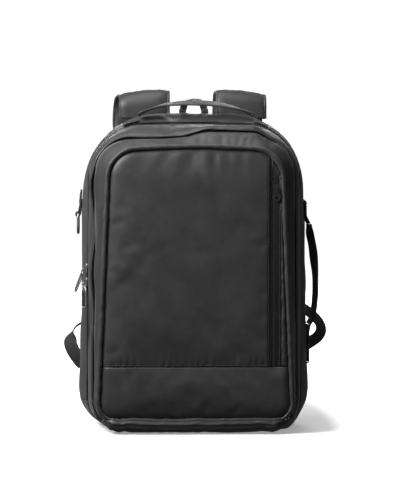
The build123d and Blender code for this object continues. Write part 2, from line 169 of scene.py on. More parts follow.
def window(value, low, rise, high, fall):
    """0 outside low to high and 1 inside, with a smooth rise and fall."""
    return smooth_step((value - low) / rise) * smooth_step((high - value) / fall)


def circle(count):
    """Evenly spaced angles round a circle."""
    return [2 * pi * k / count for k in range(count)]


def new_object(name, data):
    """A new object in the scene."""
    obj = bpy.data.objects.new(name, data)
    bpy.context.scene.collection.objects.link(obj)
    return obj


def new_mesh(name, verts, faces, smooth=True):
    """A mesh object from points in millimetres."""
    mesh = bpy.data.meshes.new(name)
    mesh.from_pydata([(x * MM, y * MM, z * MM) for x, y, z in verts], [], faces)
    mesh.polygons.foreach_set("use_smooth", [smooth] * len(faces))
    mesh.update()
    return new_object(name, mesh)


def grid_mesh(name, rows, flip=False, closed=False):
    """A mesh from rows of points; every row has the same number of points."""
    wide = len(rows[0])
    verts = [p for row in rows for p in row]
    faces = []
    for i in range(len(rows) - 1):
        for j in range(wide if closed else wide - 1):
            k = (j + 1) % wide
            face = (i * wide + j, i * wide + k, (i + 1) * wide + k, (i + 1) * wide + j)
            faces.append(face[::-1] if flip else face)
    return new_mesh(name, verts, faces)


def apply_modifiers(obj):
    """Replace an object's mesh by what its modifiers make of it."""
    graph = bpy.context.evaluated_depsgraph_get()
    graph.update()
    mesh = bpy.data.meshes.new_from_object(obj.evaluated_get(graph))
    obj.modifiers.clear()
    old = obj.data
    obj.data = mesh
    bpy.data.meshes.remove(old)
    mesh.polygons.foreach_set("use_smooth", [True] * len(mesh.polygons))
    return obj


def set_values(target, **settings):
    """Set several properties of one thing."""
    for key, value in settings.items():
        setattr(target, key, value)
    return target


def add_modifier(obj, kind, **settings):
    """Add a modifier and set its values."""
    return set_values(obj.modifiers.new(kind.lower(), kind), **settings)


def finish_piece(obj, body, material, slot, *nodes):
    """Give a piece its material, attach it to its body and hide the CAD nodes it stands for. A piece given
    two bodies is only baked in place, not attached.
    """
    obj.data.materials.clear()
    obj.data.materials.append(material)
    if isinstance(body, tuple):
        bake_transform(obj)
    else:
        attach(obj, body)
    if nodes:
        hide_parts(*nodes)
    return obj


def drape(obj, pinned, pressure, slack, cap, frames=16, stiffness=12.0, taut=None, bending=0.6):
    """Let sewn fabric settle: pinned points hold, the rest has slack and is pushed out from inside.
    pinned is a function of a vertex index; cap is how far a point may move, in millimetres; taut gives how
    much of the slack is taken out at a point, from 0 to 1."""
    scene = bpy.context.scene
    group = obj.vertex_groups.new(name="seams")
    held = [i for i in range(len(obj.data.vertices)) if pinned(i)]
    group.add(held, 1.0, "REPLACE")
    if taut:
        tight = obj.vertex_groups.new(name="taut")
        for vertex in obj.data.vertices:
            tight.add([vertex.index], taut(vertex.co / MM), "REPLACE")
    start = [v.co.copy() for v in obj.data.vertices]
    cloth = add_modifier(obj, "CLOTH")
    set_values(cloth.settings, quality=5, mass=0.25, tension_stiffness=stiffness,
               compression_stiffness=stiffness, shear_stiffness=stiffness * 0.4, bending_stiffness=bending,
               use_pressure=pressure > 0, uniform_pressure_force=pressure, shrink_min=-slack, shrink_max=0.0,
               vertex_group_mass="seams")
    if taut:
        cloth.settings.vertex_group_shrink = "taut"
    cloth.settings.effector_weights.gravity = 0.0
    set_values(cloth.collision_settings, use_collision=False, use_self_collision=False)
    set_values(cloth.point_cache, frame_start=1, frame_end=frames)
    for number in range(1, frames + 1):
        scene.frame_set(number)
    apply_modifiers(obj)
    scene.frame_set(1)
    limit = cap * MM
    for vertex, before in zip(obj.data.vertices, start):
        move = vertex.co - before
        if move.length > limit:
            vertex.co = before + move * (limit / move.length)
    return obj


def subdivide(obj):
    """Round a mesh by subdivision and keep the result."""
    add_modifier(obj, "SUBSURF", levels=1, render_levels=1)
    return apply_modifiers(obj)


def thicken(obj, thickness, offset=-1.0):
    """Give a sheet its thickness, inwards by default, and keep the result."""
    add_modifier(obj, "SOLIDIFY", thickness=thickness * MM, offset=offset)
    return apply_modifiers(obj)


def wrinkle(obj, amount, size, seed=0.0, stretch=(1, 1, 1)):
    """Push points along their normals by smooth noise; size is the wrinkle length in millimetres."""
    normals = [v.normal.copy() for v in obj.data.vertices]
    for vertex, normal in zip(obj.data.vertices, normals):
        at = vertex.co / (size * MM)
        at = Vector((at.x * stretch[0] + seed, at.y * stretch[1], at.z * stretch[2]))
        vertex.co += normal * (noise.noise(at) * amount * MM)
    obj.data.update()
    return obj


def catmull(points, per_span=10):
    """A smooth curve through points."""
    out = []
    count = len(points)
    for i in range(count - 1):
        p0 = Vector(points[max(i - 1, 0)])
        p1, p2 = Vector(points[i]), Vector(points[i + 1])
        p3 = Vector(points[min(i + 2, count - 1)])
        for k in range(per_span + (i == count - 2)):
            t = k / per_span
            out.append(
                0.5 * ((2 * p1) + (p2 - p0) * t + (2 * p0 - 5 * p1 + 4 * p2 - p3) * t * t
                       + (3 * p1 - 3 * p2 + p3 - p0) * t * t * t)
            )
    return out


def rounded(value, power):
    """A sine or cosine pushed towards its extremes, so that an ellipse becomes a rounded bar."""
    return copysign(abs(value) ** power, value)


def close_ends(obj, wide):
    """Close both ends of a tube whose rings have the same number of points."""
    mesh = bmesh.new()
    mesh.from_mesh(obj.data)
    mesh.verts.ensure_lookup_table()
    last = len(mesh.verts) - wide
    mesh.faces.new([mesh.verts[k] for k in range(wide)][::-1])
    mesh.faces.new([mesh.verts[last + k] for k in range(wide)])
    bmesh.ops.recalc_face_normals(mesh, faces=mesh.faces)
    mesh.to_mesh(obj.data)
    mesh.free()


def ribbon(name, path, across, width, thickness):
    """Woven strap along a path. across is the direction of its width, one vector or one for each point."""
    rows = []
    count = len(path)
    wide = 14
    for i, point in enumerate(path):
        ahead = path[min(i + 1, count - 1)] - path[max(i - 1, 0)]
        side = Vector(across[i] if isinstance(across, list) else across)
        side = (side - ahead * (side.dot(ahead) / ahead.length_squared)).normalized()
        up = side.cross(ahead).normalized()
        row = []
        for angle in circle(wide):
            flat_x = rounded(cos(angle), 0.35) * width / 2
            flat_z = rounded(sin(angle), 0.8) * (thickness / 2)
            row.append(tuple(point + side * flat_x + up * flat_z))
        rows.append(row)
    obj = grid_mesh(name, rows, closed=True)
    close_ends(obj, wide)
    obj.data.polygons.foreach_set("use_smooth", [True] * len(obj.data.polygons))
    return obj


def tube(name, path, radius, closed=False, sides=8, level=(0, 1, 0.02)):
    """A round cord along a path, as a mesh; level is a direction that the path never takes."""
    rows = []
    count = len(path)
    for i, point in enumerate(path):
        point = Vector(point)
        if closed:
            ahead = Vector(path[(i + 1) % count]) - Vector(path[i - 1])
        else:
            ahead = Vector(path[min(i + 1, count - 1)]) - Vector(path[max(i - 1, 0)])
        side = ahead.cross(Vector(level)).normalized()
        up = side.cross(ahead).normalized()
        rows.append([
            tuple(point + (side * cos(a) + up * sin(a)) * radius)
            for a in circle(sides)
        ])
    if closed:
        rows.append(rows[0])
    return grid_mesh(name, rows, closed=True)


def stitches(name, path, normal, length=3.2, gap=1.6, radius=0.35):
    """A row of thread stitches lying along a path, standing a little out of the cloth along normal."""
    line = [Vector(p) for p in path]
    reach = sum((b - a).length for a, b in zip(line, line[1:]))
    marks = resample([tuple(p) for p in line], max(2, round(reach / (length + gap))))
    verts, faces = [], []
    for before, after in zip(marks, marks[1:]):
        ahead = Vector(after) - Vector(before)
        ahead.normalize()
        centre_at = (Vector(before) + Vector(after)) / 2
        out = Vector(normal(centre_at) if callable(normal) else normal).normalized()
        side = ahead.cross(out).normalized() * radius
        base = len(verts)
        for along, scale in ((-0.5, 0.3), (-0.3, 1.0), (0.3, 1.0), (0.5, 0.3)):
            centre = centre_at + ahead * (length * along)
            for shift in (side, out * radius * 1.6, -side, -out * radius):
                verts.append(tuple(centre + shift * scale))
        for ring in range(3):
            for k in range(4):
                p, q = base + ring * 4 + k, base + ring * 4 + (k + 1) % 4
                faces.append((p, q, q + 4, p + 4))
    return new_mesh(name, verts, faces)


def face_outwards(obj, centre=BAG_MIDDLE):
    """Turn all faces of an open sheet so that they look away from a point in millimetres."""
    middle = Vector(centre) * MM
    total = sum(p.normal.dot(p.center - middle) * p.area for p in obj.data.polygons)
    if total < 0:
        obj.data.flip_normals()
    return obj


# ---- materials
def new_material(name):
    """A new material with its shader, a function that gives a node its inputs and one that adds a node."""
    material = bpy.data.materials.new(name)
    material.use_nodes = True
    tree = material.node_tree

    def feed(node, inputs):
        for key, value in inputs.items():
            if isinstance(value, bpy.types.NodeSocket):
                tree.links.new(value, node.inputs[key])
            else:
                node.inputs[key].default_value = value

    def add(kind, output, inputs, **settings):
        node = set_values(tree.nodes.new(kind), **settings)
        feed(node, inputs)
        return node.outputs[output]

    return material, tree.nodes["Principled BSDF"], feed, add


def grey(value):
    """A neutral colour."""
    return (value, value, value, 1.0)


def tint(add, factor, *stops):
    """A colour ramp from dark to light; each stop is a position and a value."""
    colour = add("ShaderNodeValToRGB", "Color", {"Fac": factor})
    for element, (position, value) in zip(colour.node.color_ramp.elements, stops):
        element.position, element.color = position, grey(value)
    return colour


def spread(add, factor, low, high):
    """A value that varies from low to high."""
    return add("ShaderNodeMapRange", "Result", {"Value": factor, "To Min": low, "To Max": high})


def fabric(name, dark, light, roughness, sheen, thread, depth, cloud=45):
    """Woven cloth: patches of tone, a crossed weave with threads of a given width, and fine unevenness."""
    material, shader, feed, add = new_material(name)
    place = add("ShaderNodeTexCoord", "Object", {})
    patches = add("ShaderNodeTexNoise", "Fac", {"Vector": place, "Scale": cloud, "Detail": 4.0,
                                                "Roughness": 0.6})
    fine = add("ShaderNodeTexNoise", "Fac", {"Vector": place, "Scale": 1100.0, "Detail": 2.0})
    speckle = add("ShaderNodeMath", "Value", {0: fine, 1: 0.12}, operation="MULTIPLY")
    tone = add("ShaderNodeMath", "Value", {0: patches, 1: speckle}, operation="ADD")
    wave = {"Vector": place, "Scale": 314.0 / thread, "Distortion": 0.4, "Detail": 1.0}
    x_wave, y_wave, z_wave = (add("ShaderNodeTexWave", "Fac", wave, bands_direction=axis) for axis in "XYZ")
    crossed = add("ShaderNodeMath", "Value", {0: x_wave, 1: z_wave}, operation="MULTIPLY")
    weave = add("ShaderNodeMath", "Value", {0: crossed, 1: y_wave}, operation="ADD")
    bump = add("ShaderNodeBump", "Normal", {"Height": weave, "Strength": 0.5, "Distance": depth * MM})
    soft = add("ShaderNodeBump", "Normal", {"Height": fine, "Strength": 0.25, "Distance": 0.05 * MM,
                                            "Normal": bump})
    feed(shader, {"Base Color": tint(add, tone, (0.32, dark), (0.78, light)), "Normal": soft,
                  "Roughness": spread(add, patches, roughness - 0.06, roughness + 0.08),
                  "Sheen Weight": sheen, "Sheen Roughness": 0.45, "Specular IOR Level": 0.5})
    return material


def hard(name, colour, metallic, roughness, scratch=0.1):
    """Metal or plastic with uneven polish and fine marks."""
    material, shader, feed, add = new_material(name)
    place = add("ShaderNodeTexCoord", "Object", {})
    wear = add("ShaderNodeTexNoise", "Fac", {"Vector": place, "Scale": 160.0, "Detail": 6.0,
                                             "Roughness": 0.7})
    marks = add("ShaderNodeTexNoise", "Fac", {"Vector": place, "Scale": 400.0, "Detail": 3.0})
    bump = add("ShaderNodeBump", "Normal", {"Height": marks, "Strength": scratch, "Distance": 0.1 * MM})
    feed(shader, {"Base Color": tint(add, wear, (0.35, colour * 0.8), (0.75, colour * 1.25)), "Normal": bump,
                  "Roughness": spread(add, marks, roughness - 0.08, roughness + 0.14), "Metallic": metallic})
    return material


SHELL = fabric("shell_cloth", 0.019, 0.031, roughness=0.46, sheen=0.18, thread=0.7, depth=0.05)
# SHADED is the shell cloth made darker: painted shade for cloth that lies in the shade of the fly.
SHADED = fabric("painted_shade_cloth", 0.010, 0.017, roughness=0.55, sheen=0.12, thread=0.7, depth=0.05)
LINING = fabric("lining_cloth", 0.07, 0.10, roughness=0.6, sheen=0.1, thread=0.5, depth=0.03)
MESH = fabric("air_mesh", 0.012, 0.03, roughness=0.8, sheen=0.35, thread=2.4, depth=0.5, cloud=90)
WEBBING = fabric("webbing_weave", 0.012, 0.02, roughness=0.62, sheen=0.2, thread=1.5, depth=0.22)
PIPING = fabric("piping_cloth", 0.02, 0.034, roughness=0.5, sheen=0.25, thread=0.6, depth=0.05)
THREAD = fabric("thread", 0.03, 0.05, roughness=0.6, sheen=0.2, thread=0.4, depth=0.05)
COIL = hard("zip_coil", 0.008, 0.0, 0.42)
# Zip tape is black cloth. Its colour is set darker than the shell cloth partly as painted shade, for the
# pocket zip in the shade of the fly.
TAPE = fabric("zip_tape", 0.006, 0.011, roughness=0.7, sheen=0.15, thread=0.6, depth=0.08)
METAL = hard("gunmetal", 0.34, 0.75, 0.36, scratch=0.12)
BLACKENED = hard("blackened_metal", 0.03, 0.5, 0.36, scratch=0.12)
BUCKLE = hard("moulded_plastic", 0.02, 0.0, 0.45)
BOARD = hard("board_plastic", 0.3, 0.0, 0.5)

# ---- the sewn shell
def displace(obj, amount, along=None):
    """Move every point by amount(point) millimetres, along its normal or a fixed direction."""
    normals = [Vector(along) if along else v.normal.copy() for v in obj.data.vertices]
    for vertex, normal in zip(obj.data.vertices, normals):
        step = amount(vertex.co / MM)
        vertex.co += (step if isinstance(step, Vector) else normal * step) * MM
    obj.data.update()
    return obj


def bell(distance, width):
    """1 at zero distance, falling smoothly to 0 over about twice the width."""
    return exp(-(distance / width) ** 2)


def gusset(name, profile, held, body, nodes, run, z_cut, count, pressure, slack, cap, seed, rough=1.0,
           drift=0.0, taut=None, shape=None):
    """A band of cloth round the bag. profile is its rows as (depth, inset), from front to back; held lists
    the rows that are sewn down; drift lets the seam line wander; the other points are free to swell."""
    points = []
    for y, inset in profile:
        line = []
        for k, (x, z) in enumerate(run(max(FRONT_Y, min(BACK_Y, y)), z_cut, count, inset)):
            at = Vector((k / count * 9 + seed, 0.5, 0))
            line.append((x, y + drift * bell(y - GUSSET_SEAM_Y, 16) * noise.noise(at), z))
        points.append(line)
    skin = face_outwards(grid_mesh(name, points))

    def pinned(index):
        row, column = divmod(index, count)
        return row in held or column in (0, count - 1)

    wrinkle(skin, rough, 46, seed=seed)
    drape(skin, pinned, pressure=pressure, slack=slack, cap=cap, taut=taut, bending=2.0)
    subdivide(skin)
    if shape:
        displace(skin, shape)
    displace(skin, crumple)
    for vertex in skin.data.vertices:
        vertex.co.z = max(vertex.co.z, 0.0)
    return finish_piece(thicken(skin, 1.6), body, SHELL, "shell_fabric", *nodes)


def seam_steps(low, high, *seams):
    """Depths from low to high, closer together beside the seams."""
    near = [seam + d for seam in seams for d in (-3.2, -1.8, -0.9, 0, 0.9, 1.8, 3.2)]
    far = [y for y in steps_between(low, high) if all(abs(y - seam) > 4.4 for seam in seams)]
    return sorted(y for y in near + far if low <= y <= high)


def crumple(p):
    """Small creases where the lower front corners are turned, and a fuller corner at the lower right."""
    full = 7 * bell(dist((p.x, p.z), (132, 8)), 20) * smooth_step((p.y + 50) / 30)
    near = min(dist((abs(p.x), p.y, p.z), spot) for spot in ((124, -74, 16), (134, -66, 30)))
    if near > 48:
        return full
    at = Vector((p.x / 11, p.y / 15, p.z / 9))
    return full + 3.4 * bell(near, 24) * (noise.noise(at) + 0.5 * noise.noise(at * 2.1))


def top_is_loose(p):
    """How taut the cloth is: slack is left in patches over the top and taken out of the sides."""
    patch = 0.5 + 0.9 * noise.noise(Vector((p.x / 52 + 2.7, p.y / 60, 4.2)))
    return 1 - 0.85 * smooth_step((p.z - 350) / 50) * max(0.05, min(1.0, patch))


def side_recess(p):
    """A flat pleat beside the main zip on the left, with upright folds and a sharp lower end."""
    if p.x > 0 or not -62 < p.y < -18:
        return 0.0
    return -window(p.z, 128, 9, 212, 40) * window(p.y, -60, 6, -20, 5) * (3.4 + 1.0 * sin(p.y * 0.62))


def laptop_recess(p):
    """The cloth is cut back along the laptop zip so that the tapes show."""
    if p.x < 100:
        return 0.0
    across = abs(p.y - 62)
    opening = 1 - smooth_step((across - 5.6) / 2.2)
    low = smooth_step((112 - p.z) / 30)
    flap = (1.2 - 1.4 * low) * bell(across - 9.5, 3.2)
    return window(p.z, 28, 6, 332, 6) * (flap - (3.6 + 2.0 * low) * opening)


# Each sway of the side fold: its height, how far it leans and how long it is.
FOLD_SWAY = ((350, -4.0, 26), (282, 2.6, 22), (224, -3.2, 28), (166, 1.8, 20))


def front_shape(p):
    """The side pleat, and the seam over the top rises in a wave towards the right."""
    if p.z < 380:
        sway = sum(size * bell(p.z - z, width) for z, size, width in FOLD_SWAY) if p.x < 0 else 0.0
        return Vector((sway * bell(p.y + 57, 11) * smooth_step((380 - p.z) / 20) - side_recess(p), 0, 0))
    wave = window(p.x, -22, 44, 108, 26) - 0.3 * bell(p.x + 52, 34)
    return Vector((0, -2.5, 9)) * wave * bell(p.y + 58, 15)


def rear_shape(p):
    """The laptop zip window, a fuller place behind the ring and a fuller upper corner on the right."""
    if p.x < 0:
        return 2.4 * bell(p.z - 306, 30) * bell(p.y - 44, 26)
    return laptop_recess(p) + 3.5 * bell(dist((p.x, p.z), (126, 400)), 30) * bell(p.y - 45, 30)


# The front band ends in a deep fold: the cloth of the main compartment laps over it with a rolled edge.
front_rows = [(y, 0.0) for y in steps_between(FRONT_Y, -69)]
fold_rows = [(-66.5, 0.8), (-64, 2.2), (-61.5, 4.2), (-57.5, 6.0), (-53, 6.6), (-51.5, 5.2), (-54, 3.2),
             (-58, 2.0), (-61.4, 0.9), (-63.2, -0.6), (-62.8, -2.0), (-60.4, -2.6), (-57, -2.4)]
side_rows = [(y, -1.2 * smooth_step((-20 - y) / 30)) for y in steps_between(-53, ZIP_Y - 6)]
front_profile = front_rows + fold_rows + side_rows
fold_start = len(front_rows)
gusset("front_gusset_skin", front_profile,
       {0, fold_start + 2, fold_start + 4, fold_start + 5, fold_start + 9, len(front_profile) - 1},
       "front_section", ("front_gusset_left", "front_gusset_right", "front_gusset_top"),
       upper_run, FRONT_CUT_Z, 300, 1.8, 0.022, 5, 3.0, drift=7.0, taut=top_is_loose, shape=front_shape)
rear_depths = seam_steps(ZIP_Y + 6, BACK_Y, 56, 68)
gusset("rear_gusset_skin", [(y, 0.0) for y in rear_depths], {0, len(rear_depths) - 1},
       "bag", ("rear_gusset_left", "rear_gusset_right", "rear_gusset_top"),
       upper_run, REAR_CUT_Z, 300, 1.4, 0.014, 4.5, 11.0, taut=top_is_loose, shape=rear_shape)


# Each row: share of the way in from the front, push in Y and push in Z.
LIP_PUSH = ((0, 0, 0), (0.1, -7, 6.6), (0.25, -14.2, 7), (0.45, -21, 4), (0.65, -23.4, -0.3),
            (0.85, -17, -2.4), (1, 0, 0))


def front_lip(p):
    """The base cloth rolls forwards and up over the bottom edge of the front panel."""
    share = min(1.0, max(0.0, (p.y - FRONT_Y - 1) / 24))
    for (low, y_low, z_low), (high, y_high, z_high) in zip(LIP_PUSH, LIP_PUSH[1:]):
        if share <= high:
            t = smooth_step((share - low) / (high - low))
            sides = smooth_step((146 - abs(p.x)) / 34)
            return Vector((0, y_low + (y_high - y_low) * t, z_low + (z_high - z_low) * t)) * sides
    return Vector((0, 0, 0))


base_depths = steps_between(FRONT_Y + 1.0, -62, 2) + steps_between(-60, ZIP_Y + 6, 4)
gusset("base_front_skin", [(y, 0.0) for y in base_depths], {0, len(base_depths) - 1},
       ("bag", "front_section", (0, -0.066, 0.004), (0, -0.082, 0.012)), ("base_panel",), lower_run,
       HINGE_Z - 0.5, 90, 0.2, 0.003, 3, 5.0, rough=0.5, shape=front_lip)
base_depths = steps_between(ZIP_Y + 6, BACK_Y)
gusset("base_rear_skin", [(y, 0.0) for y in base_depths], {0, len(base_depths) - 1},
       "bag", (), lower_run, REAR_CUT_Z, 100, 0.2, 0.003, 3, 7.0, rough=0.4)


PANEL_INSET = 3.8
PANEL_LOOP = resample(outline(FRONT_Y, PANEL_INSET) + [outline(FRONT_Y, PANEL_INSET)[0]], 2400)[:-1]


def loop_part(start, end):
    """The part of the panel outline running clockwise from the point nearest start to the one nearest end."""
    first, last = (min(range(len(PANEL_LOOP)), key=lambda i: dist(PANEL_LOOP[i], p))
                   for p in (start, end))
    count = (last - first) % len(PANEL_LOOP)
    return [PANEL_LOOP[(first + k) % len(PANEL_LOOP)] for k in range(count + 1)]


def panel_half_width(z):
    """Half width of the front panel on its straight sides."""
    return max(x for x, pz in PANEL_LOOP if abs(pz - z) < 1.5)


def coons(bottom, top, left, right, columns, rows):
    """A grid of points filling four edge curves; bottom and top run rightwards, left and right upwards."""
    bottom, top = resample(bottom, columns), resample(top, columns)
    left, right = resample(left, rows), resample(right, rows)
    out = []
    for j in range(rows):
        v = j / (rows - 1)
        line = []
        for i in range(columns):
            u = i / (columns - 1)
            line.append(tuple(
                (1 - v) * bottom[i][k] + v * top[i][k] + (1 - u) * left[j][k] + u * right[j][k]
                - (1 - u) * (1 - v) * bottom[0][k] - u * (1 - v) * bottom[-1][k]
                - (1 - u) * v * top[0][k] - u * v * top[-1][k] for k in (0, 1)
            ))
        out.append(line)
    return out


def fold(p, x, z, slope, length, width):
    """A soft fold on the front, starting at x, z and running down a slope; slope is sideways per down."""
    down = z - p.z
    if not -12 < down < length + 20:
        return 0.0
    across = (p.x - x - slope * down) / hypot(1, slope)
    fade = smooth_step((down + 12) / 16) * (1 - smooth_step(down / (length + 20)))
    return fade * (bell(across, width) - 0.55 * bell(across - width * 1.7, width * 0.9))


# Each fold: x and z of its upper end, slope, length, width and height.
SOFT_FOLDS = (
    (14, 396, 0.10, 70, 8, 1.5), (34, 396, 0.02, 46, 7, 0.9), (-20, 396, -0.30, 40, 8, 0.7),
    (-52, 398, -0.6, 30, 7, 0.7), (74, 396, 0.05, 50, 7, 0.6), (58, 396, -0.1, 26, 6, 0.5),
    (-84, 262, -1.0, 40, 12, 0.8), (-98, 240, -0.9, 40, 9, 0.6), (20, 250, -0.5, 120, 30, 0.8),
)


def panel_relief(p):
    """Folds below the top seam and small puckers above the cross seam."""
    folds = sum(row[-1] * fold(p, *row[:-1]) for row in SOFT_FOLDS)
    above = p.z - PANEL_SEAM_Z
    strength = 0.5 + noise.noise(Vector((p.x / 26, 3, 0)))
    pucker = sin(p.x * 0.62 + 2.4 * noise.noise(Vector((p.x / 17, 0, 0))))
    fade = smooth_step(above / 3) * (1 - smooth_step(above / 24)) if above > 0 else 0.0
    valley = 0.45 * bell(above - 3.2, 0.9) + 0.3 * bell(above + 2.6, 0.9)
    return folds + 0.7 * strength * pucker * fade - valley


def front_panel(name, grid, upper, nodes, slack, cap, seed):
    """A padded panel on the front, above or below the cross seam: it swells between its seams."""
    wide, tall = len(grid[0]), len(grid)
    sewn = grid[-1] if upper else grid[0]
    lines = [sewn, [row[0] for row in grid]] + ([] if upper else [[row[-1] for row in grid]])
    edge = [p for line in lines for p in resample(line, 900)]
    tree = kdtree.KDTree(len(edge))
    for index, (x, z) in enumerate(edge):
        tree.insert((x, z, 0), index)
    tree.balance()
    rows = []
    for row in grid:
        line = []
        for x, z in row:
            near = tree.find((x, z, 0))[2]
            dip = 0.35 * bell(z - PANEL_SEAM_Z, 1.3) + 0.4 * bell(z - PANEL_SEAM_Z - 4, 1.5)
            dip += 3.4 * bell(x - 114.4, 9) * bell(z - PANEL_SEAM_Z, 8) * (not upper)
            fly = (1 - exp(-max(0, FLY_X - x) / 1.6)) if upper else 1.0
            line.append((x, FRONT_Y - 0.6 - PANEL_RISE * (1 - exp(-near / 6.0)) * fly + dip, z))
        rows.append(line)
    skin = face_outwards(grid_mesh(name, rows))

    def pinned(index):
        row, column = divmod(index, wide)
        return row in (0, tall - 1) or column in (0, wide - 1)

    wrinkle(skin, 0.5, 90, stretch=(1.6, 1, 0.6), seed=seed)
    drape(skin, pinned, pressure=0.8, slack=slack, cap=cap, stiffness=15, bending=4.0)
    subdivide(skin)
    displace(skin, panel_relief, (0, -1, 0))
    return finish_piece(thicken(skin, 3.0), "front_section", SHELL, "shell_fabric", *nodes)


PANEL_RISE = 6.4
TOP_LEFT, LOW_LEFT, LOW_RIGHT = (-112, 390), (-126, 32), (126, 32)
half = panel_half_width(PANEL_SEAM_Z)
seam_low, seam_high = PANEL_SEAM_Z - 0.2, PANEL_SEAM_Z + 0.2
fly_top = max((p for p in PANEL_LOOP if p[1] > 300), key=lambda p: -abs(p[0] - FLY_X))
front_panel("front_panel_skin",
            coons([(-half, seam_high), (FLY_X, seam_high)], loop_part(TOP_LEFT, fly_top),
                  loop_part((-half, seam_high), TOP_LEFT), [(FLY_X, seam_high), fly_top], 60, 76),
            True, ("front_panel",), 0.0015, 5, 21.0)
front_panel("front_panel_lower_skin",
            coons(loop_part(LOW_RIGHT, LOW_LEFT)[::-1], [(-half, seam_low), (half, seam_low)],
                  loop_part(LOW_LEFT, (-half, seam_low)), loop_part((half, seam_low), LOW_RIGHT)[::-1],
                  68, 22),
            False, ("front_panel_lower",), 0.0015, 4, 31.0)

# A narrow strip of cloth between the pocket zip and the piping. It is given the darker SHADED cloth, painted
# shade for the shadow of the fly.
strip_rows = []
for z in steps_between(PANEL_SEAM_Z + 1, 366):
    right = panel_half_width(z)
    strip_rows.append([
        (STRIP_X + (right - STRIP_X) * k / 4, FRONT_Y - 0.5 - 2.6 * sin(pi * k / 4), z)
        for k in range(5)
    ])
strip = face_outwards(grid_mesh("front_side_strip_skin", strip_rows))
wrinkle(strip, 1.4, 9, stretch=(1, 1, 1.4), seed=4.0)
subdivide(strip)
finish_piece(thicken(strip, 1.5), "front_section", SHADED, "shell_fabric", "front_side_strip")

# Corded piping round the front panel.
CORD_RADIUS, CORD_INSET = 3.1, 0.4
lip_loop = outline(FRONT_Y, CORD_INSET)
lip_line = [(x, FRONT_Y - 2.6, z) for x, z in resample(lip_loop + [lip_loop[0]], 460)[:-1]]
piping = tube("front_piping_cord", lip_line, CORD_RADIUS, closed=True, sides=12)


def slim_below(p):
    """The rim narrows along the bottom, where the base cloth takes its place."""
    near = min(lip_line[::4], key=lambda q: dist(q, p))
    return (Vector(near) - p) * 0.55 * smooth_step((34 - p.z) / 12)


displace(piping, slim_below)
wrinkle(piping, 0.9, 11, seed=2.0)
finish_piece(piping, "front_section", PIPING, "piping", "front_piping")


# ---- zips
def zip_teeth(name, line, across, out, side, reach=2.3, pitch=1.7):
    """One half of a coil zip: a row of rounded teeth along a line, on one side of it."""
    reach_total = sum(dist(a, b) for a, b in zip(line, line[1:]))
    marks = resample(line, max(2, round(reach_total / pitch)))
    verts, faces = [], []
    for before, after in zip(marks, marks[1:]):
        ahead = (Vector(after) - Vector(before)).normalized()
        centre = Vector(before).lerp(Vector(after), 0.25 if side < 0 else 0.75)
        outward = Vector(out(centre)).normalized()
        sideways = Vector(across) * side
        base = len(verts)
        for share, height in ((0.02, 0.35), (0.3, 0.75), (0.75, 0.7), (1.0, 0.2)):
            for along in (-0.42, 0.42):
                for level in (0.0, height):
                    verts.append(tuple(centre + sideways * (0.06 + reach * share)
                                       + ahead * (along * pitch * 0.8) + outward * (level - 0.1)))
        for k in range(3):
            a, b = base + 4 * k, base + 4 * k + 4
            faces += [(a + 1, a + 3, b + 3, b + 1), (a, a + 1, b + 1, b), (a + 2, b + 2, b + 3, a + 3)]
        faces.append((base, base + 2, base + 3, base + 1))
        faces.append((base + 12, base + 13, base + 15, base + 14))
    return new_mesh(name, verts, faces, smooth=False)


def outwards_xz(point):
    """Away from the middle of the bag, in the X-Z plane, for a point on the outline."""
    x, z = point.x, point.z
    inside_x = max(-84.0, min(84.0, x))
    inside_z = max(60.0, min(363.0, z))
    way = Vector((x - inside_x, 0, z - inside_z))
    return way if way.length > 1 else Vector((0, 0, 1))


def zip_half(name, label, rows, creases, line, across, out, side, body, *nodes):
    """One tape of a zip with its row of teeth; creases are the amount, length and seed of its unevenness."""
    tape = face_outwards(grid_mesh(f"{name}_tape_{label}", rows))
    wrinkle(tape, *creases)
    finish_piece(thicken(tape, 0.7), body, TAPE, "zip_coil", *nodes)
    finish_piece(zip_teeth(f"{name}_teeth_{label}", line, across, out, side), body, COIL, "zip_coil")


TAPE_WIDTH = 6.2
chain_line = [(x, ZIP_Y, z) for x, z in upper_run(ZIP_Y, FRONT_CUT_Z, 700, inset=0.9)]
for half, side, body in (("front", -1, "front_section"), ("rear", 1, "bag")):
    tape_rows = []
    for share in (0.015, 0.3, 0.36, 0.42, 0.7, 1.0):
        y = ZIP_Y + side * TAPE_WIDTH * share
        dip = 0.9 + (0.5 if share < 0.35 else 0.9)
        tape_rows.append([(x, y, z) for x, z in upper_run(ZIP_Y, FRONT_CUT_Z, 300, inset=dip)])
    zip_half("main_zip", half, tape_rows, (0.35, 14, side), chain_line, (0, 1, 0), outwards_xz, side, body,
             f"main_zip_{half}_half")


def flat_zip(name, origin, across, out, low, high, half_band, body, node):
    """A straight closed zip: two tapes and two rows of teeth."""
    origin, across, out = Vector(origin), Vector(across).normalized(), Vector(out).normalized()
    heights = steps_between(low, high)
    for side, label in ((-1, "left"), (1, "right")):
        rows = [
            [tuple(origin + across * (side * half_band * share) + out * (-0.9 if share < 0.4 else -1.0)
                   + Vector((0, 0, z))) for z in heights]
            for share in (0.02, 0.35, 0.5, 0.8, 1.0)
        ]
        line = [tuple(origin + Vector((0, 0, z)) - out * 0.7) for z in (low, high)]
        zip_half(name, label, rows, (0.4, 10, side * 3.0), line, across, lambda p: out, side, body,
                 *([node] if side < 0 else []))


